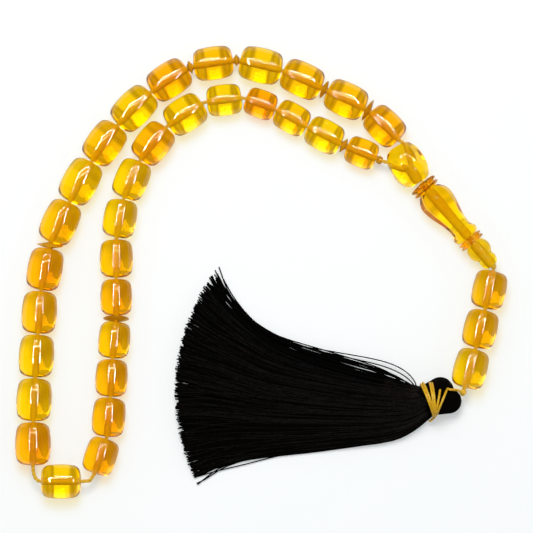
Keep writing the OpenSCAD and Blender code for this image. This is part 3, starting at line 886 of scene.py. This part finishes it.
# stray threads above the upper edge, between the neck and the cut end
STRAY_ARCS = [(4.2, 0.75, 4.2), (3.4, 0.9, 4.4), (2.6, 1.5, 4.7), (2.1, 1.2, 5.0),
              (1.7, 1.8, 5.2), (1.3, 1.1, 5.4), (0.9, 2.0, 5.6), (0.6, 1.4, 5.8)]
stray = []
for lift, start, end in STRAY_ARCS:
    for n in range(1 if lift > 3 else 3):
        arc, e, high = [], end + rng.uniform(-0.2, 0.2), rng.uniform(1.2, 3.0)
        top = lift + rng.uniform(-0.4, 0.4)
        for i in range(25):
            f = i / 24
            p = fan(mix(start, e, f), 0.99)
            up = math.sin(math.pi * f ** 0.85)
            arc.append(Vector((p.x + up * top * 0.3, p.y + up * top, mix(high + 1.5, 1.2, f))))
        stray.append(arc)
for n in range(LOOSE_TIPS):  # at the upper corner
    stray.append(strand(rng.uniform(0.9, 1.0), 1 + rng.uniform(-0.05, 0.05), rng.uniform(0.5, 1.6),
                        start=2.0, end=LAST + rng.uniform(-0.35, 0.02), wave=0.012))
for n in range(3):  # and along the lower edge
    stray.append(strand(0.02, -0.012 - 0.006 * n, 0.6, start=0.8,
                        end=LAST + rng.uniform(-0.05, 0.06), wave=0.02))
silk_piece("tassel_strays", stray)


def make_head():
    """Two folded lobes of wound thread over the tie."""
    bm = bmesh.new()
    neck = Vector((NECK.x, NECK.y, NECK_Z))
    for n, (x, y, d) in enumerate(LOBES):
        r = d / 2
        along = Vector((x, y, r)) - neck
        length = along.length
        along.normalize()
        side = UP.cross(along).normalized()
        top = along.cross(side)
        neck_r = NECK_R * (0.93 if n == 0 else 0.86)
        for k in range(HEAD_STRANDS):
            a = TAU * k / HEAD_STRANDS
            path = []
            for i in range(21):
                f = i / 20
                s = mix(-1.2, length + r, f)
                if s > length:
                    out = r * math.sqrt(max(0, 1 - ((s - length) / r) ** 2))
                else:
                    g = max(0, s / length)
                    out = mix(neck_r, r, g * g * (3 - 2 * g)) + 0.25 * math.sin(math.pi * g)
                b = a + 0.35 * (f - 0.5) + 0.02 * math.sin(9 * f + k)
                path.append((neck + along * s + around(side, top, b) * max(0.02, out - 0.18)) * MM)
            tube(bm, path, 0.3 * MM, 5)
    piece = finish_mesh("tassel_head_threads", bm, math.radians(80))
    piece.data.materials.append(SILK)
    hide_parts("tassel_head")
    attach(piece, "tassel")


make_head()

TIE_FOOT = Vector((49.7, -42.2))  # where the turns draw together
TIE_TURNS = [((52.8, -34.8), 0.0), ((50.9, -34.4), 0.3), ((48.5, -32.9), 0.1),  # top, foot's shift
             ((47.9, -32.9), 0.5), ((46.0, -32.9), 0.3), ((45.4, -33.3), 0.8)]
TIE_R = 0.27 * 1.25
TIE_LEAD = [(57.3, -36.0, 5.6), (56.3, -35.3, 6.4), (55.2, -35.0, 7.2), (54.0, -35.1, 7.9),
            (53.0, -34.8, 7.4), (52.7, -34.5, 6.4)]
TIE_END = [(49.7, -42.0, 4.6), (49.2, -42.7, 3.8), (48.6, -43.2, 3.0), (47.9, -43.7, 2.4)]


def make_tie():
    """Gold yarn: the lead from the knot, the turns round the neck and the loose end."""
    bm = bmesh.new()
    for (x, y), shift in TIE_TURNS:
        top = Vector((x, y))
        foot = TIE_FOOT + Vector((-0.9 * shift, -0.35 * shift))
        across = (top - foot) / 2
        middle = (top + foot) / 2
        r = across.length
        path = []
        for i in range(41):
            a = TAU * i / 40
            p = middle + across * math.cos(a)
            z = NECK_Z + (r + 0.25) * math.sin(a) * (NECK_R + 0.45) / r
            path.append(Vector((p.x, p.y, max(0.3, z))) * MM)
        tube(bm, path, TIE_R * MM, 8)
    for points in (TIE_LEAD, TIE_END):
        path = eased(sampled([Vector(p) * MM for p in points], PLY_STEP), 4)
        twist(bm, path, ply_r=0.24 * MM, off=0.16 * MM)
    piece = finish_mesh("tassel_tie_yarn", bm, math.radians(60))
    piece.data.materials.append(GOLD)
    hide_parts("tassel_tie")
    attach(piece, "tassel")


make_tie()
knot("tassel_knot_yarn", Vector((57.4, -35.7, 5.1)) * MM, 1.0 * MM, "tassel", None,
     Vector((0.3, -1, 0)).normalized())


# ---------------------------------------------------------------- table, light and camera
def floor_material():
    """White, with a share of glow where the viewer sees it, so that it keeps the shadows."""
    m, nodes, links = material("table")
    out = add(nodes, "ShaderNodeOutputMaterial")
    real = add(nodes, "ShaderNodeBsdfDiffuse")
    real.inputs["Color"].default_value = (0.82, 0.82, 0.82, 1)
    seen = add(nodes, "ShaderNodeBsdfDiffuse")
    seen.inputs["Color"].default_value = (0.72, 0.72, 0.72, 1)
    glow = add(nodes, "ShaderNodeEmission")
    glow.inputs["Color"].default_value = (0.93, 0.99, 1.0, 1)
    glow.inputs["Strength"].default_value = 0.4
    total = add(nodes, "ShaderNodeAddShader")
    links.new(seen.outputs[0], total.inputs[0])
    links.new(glow.outputs[0], total.inputs[1])
    path = add(nodes, "ShaderNodeLightPath")
    direct = add(nodes, "ShaderNodeMath", operation="MAXIMUM")
    links.new(path.outputs["Is Camera Ray"], direct.inputs[0])
    links.new(path.outputs["Is Transmission Ray"], direct.inputs[1])
    pick = add(nodes, "ShaderNodeMixShader")
    links.new(direct.outputs[0], pick.inputs["Fac"])
    links.new(real.outputs[0], pick.inputs[1])
    links.new(total.outputs[0], pick.inputs[2])
    links.new(pick.outputs[0], out.inputs["Surface"])
    return m


bm = bmesh.new()
for x, y in ((-2, -2), (2, -2), (2, 2), (-2, 2)):
    bm.verts.new((x, y, FLOOR_Z))
bm.faces.new(bm.verts)
table = finish_mesh("table", bm)
table.data.materials.append(floor_material())


def patch_material():
    """Light gathered by a bead on the table under it, which only shows through the bead."""
    m, nodes, links = material("gathered_light")
    out = add(nodes, "ShaderNodeOutputMaterial")
    clear = add(nodes, "ShaderNodeBsdfTransparent")
    glow = add(nodes, "ShaderNodeEmission")
    tone = add(nodes, "ShaderNodeAttribute", attribute_name="gathered")
    links.new(tone.outputs["Color"], glow.inputs["Color"])
    path = add(nodes, "ShaderNodeLightPath")
    pick = add(nodes, "ShaderNodeMixShader")
    links.new(path.outputs["Is Transmission Ray"], pick.inputs["Fac"])
    links.new(clear.outputs[0], pick.inputs[1])
    links.new(glow.outputs[0], pick.inputs[2])
    links.new(pick.outputs[0], out.inputs["Surface"])
    return m


GATHERED = patch_material()
DIM, BRIGHT = Vector((0.40, 0.27, 0.03)), Vector((1.3, 1.22, 0.2))


def gathered(end, up, left, across):
    """Light under a bead.

    end runs along the bead, up and left run across it, each from -1 to 1. across is 1 for a bead
    that lies along X and 0 for one that lies along Y.
    """
    band = 1 - smooth(0.27, 0.36, abs(end))
    low = 1 - smooth(-0.12, 0.12, up)
    lying = mix(0.30, 0.22, low) + band * mix(0.46, 0.8, low) + 0.25 * smooth(0.62, 0.85, abs(end))
    lying += 0.12 * math.sin(end * 23 + up * 2) * (1 - band)
    standing = 0.62 * smooth(-0.05, 0.35, left) * (1 - 0.55 * smooth(0.1, 0.8, end))
    standing += 0.16 + 0.22 * smooth(0.3, -0.8, end) + 0.06 * math.sin(left * 19 + end * 3)
    return DIM.lerp(BRIGHT, mix(standing, lying, across))


def make_patch(node, at, along, low, high, radius, body, lift=0.0):
    """The light under a piece; lift makes it brighter."""
    if along.y < 0:
        along, low, high = -along, -high, -low
    side = UP.cross(along).normalized()
    across = smooth(0.35, 0.75, abs(along.x))
    base = Vector((at.x, at.y, FLOOR_Z / 2))
    wide, nu, nv = 0.66 * radius, 48, 24
    bm = bmesh.new()
    paint = bm.verts.layers.float_color.new("gathered")
    grid = []
    for i in range(nu + 1):
        row = []
        for j in range(nv + 1):
            u, v = 2 * i / nu - 1, 2 * j / nv - 1
            vert = bm.verts.new(base + along * mix(low, high, (u + 1) / 2) + side * v * wide)
            up, left = (v if side.y > 0 else -v), (v if side.x < 0 else -v)
            vert[paint] = (*(gathered(u, up, left, across) + (BRIGHT - DIM) * lift), 1)
            row.append(vert)
        grid.append(row)
    for i in range(nu):
        for j in range(nv):
            bm.faces.new((grid[i][j], grid[i + 1][j], grid[i + 1][j + 1], grid[i][j + 1]))
    patch = finish_mesh(node + "_light", bm)
    patch.data.materials.append(GATHERED)
    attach(patch, body)


for node in BEADS + [f"tail_bead_{k}" for k in TAIL_TONES]:
    make_patch(node, *axis_of(node), *reach_of(node), JOINTS[node]["parent"])
for node in ("imam", "finial"):
    make_patch(node, *axis_of(node), *reach_of(node), JOINTS[node]["parent"], 0.25)
make_patch("connector", CONNECTOR_AT, connector_along, -CONNECTOR_HALF, CONNECTOR_HALF,
           CONNECTOR_R, "loop", 0.35)

ROOM_LEVEL = 0.33  # of its light on matt things
ROOM_SEEN_BY = {"Is Glossy Ray": 0.5, "Is Transmission Ray": 0.55, "Is Camera Ray": 1.0}
ROOM_HUE = (1, 0.6, 0.12, 1)

# the room: white for the camera, plain grey light on the table, and dim and warm in reflections
# and through the resin, so that the resin keeps its colour
world = bpy.data.worlds.new("room")
scene.world = world
world.use_nodes = True
nodes, links = world.node_tree.nodes, world.node_tree.links
room = nodes["Background"]
path = add(nodes, "ShaderNodeLightPath")
level = None
for ray, strength in ROOM_SEEN_BY.items():
    step = add(nodes, "ShaderNodeMix", data_type="FLOAT")
    links.new(path.outputs[ray], step.inputs[0])
    if level:
        links.new(level, step.inputs[2])
    else:
        step.inputs[2].default_value = ROOM_LEVEL
    step.inputs[3].default_value = strength
    level = step.outputs[0]
links.new(level, room.inputs["Strength"])
warmth = add(nodes, "ShaderNodeMath", operation="MAXIMUM")
links.new(path.outputs["Is Glossy Ray"], warmth.inputs[0])
links.new(path.outputs["Is Transmission Ray"], warmth.inputs[1])
hue = add(nodes, "ShaderNodeMix", data_type="RGBA")
hue.inputs[6].default_value = (1, 1, 1, 1)
hue.inputs[7].default_value = ROOM_HUE
links.new(warmth.outputs[0], hue.inputs[0])
links.new(hue.outputs[2], room.inputs["Color"])


def lamp(name, at, size_x, size_y, radiance, aimed=False):
    """An area lamp, facing straight down or aimed at the middle of the table."""
    light = bpy.data.lights.new(name, "AREA")
    light.shape = "RECTANGLE"
    light.size, light.size_y = size_x, size_y
    light.energy = radiance * math.pi * size_x * size_y
    o = new_object(name, light)
    o.location = at
    if aimed:
        o.rotation_euler = (-Vector(at)).to_track_quat("-Z", "Y").to_euler()
    o.visible_camera = False
    return o


# a soft box lights the table, and a ring of tubes, open at the front, gives the looped highlights
box = lamp("soft_box", (-0.05, 0.28, 0.75), 0.34, 0.34, 10.5, aimed=True)
box.visible_glossy = False
RING_Z, RING_Y = 0.8, 0.14       # middle of the ring over the table
RING_X, RING_DEEP = 0.33, 0.28   # half its width and half its depth
TUBE, GLARE, DIM_GLARE = 0.026, 130, 30  # width of the tubes, and radiance
for tube_lamp in (lamp("ring_back", (0, RING_Y + RING_DEEP, RING_Z), 2 * RING_X, TUBE, GLARE),
                  lamp("ring_inner", (0, RING_Y + 0.08, RING_Z), 2 * RING_X, TUBE, DIM_GLARE),
                  lamp("ring_left", (-RING_X, RING_Y, RING_Z), TUBE, 2 * RING_DEEP, GLARE),
                  lamp("ring_right", (RING_X, RING_Y, RING_Z), TUBE, 2 * RING_DEEP, GLARE)):
    tube_lamp.visible_diffuse = False
    tube_lamp.visible_transmission = False
    tube_lamp.data.color = (1.0, 0.93, 0.6)

VIEW_AT = Vector((1.43, 0.43, 5)) * MM
VIEW_WIDTH = 152.3 * MM
VIEW_TILT = math.radians(6)  # off the vertical
VIEW_FROM = 1.2              # metres away
camera = new_object("camera", bpy.data.cameras.new("camera"))
camera.location = VIEW_AT + Vector((0, -math.sin(VIEW_TILT), math.cos(VIEW_TILT))) * VIEW_FROM
camera.rotation_euler = (VIEW_TILT, 0, 0)
camera.data.lens = camera.data.sensor_width * VIEW_FROM / VIEW_WIDTH
scene.camera = camera

scene.view_settings.view_transform = "Standard"
scene.cycles.use_denoising = True
scene.cycles.max_bounces = 24
scene.cycles.transmission_bounces = 22
scene.cycles.transparent_max_bounces = 16
scene.cycles.caustics_reflective = False
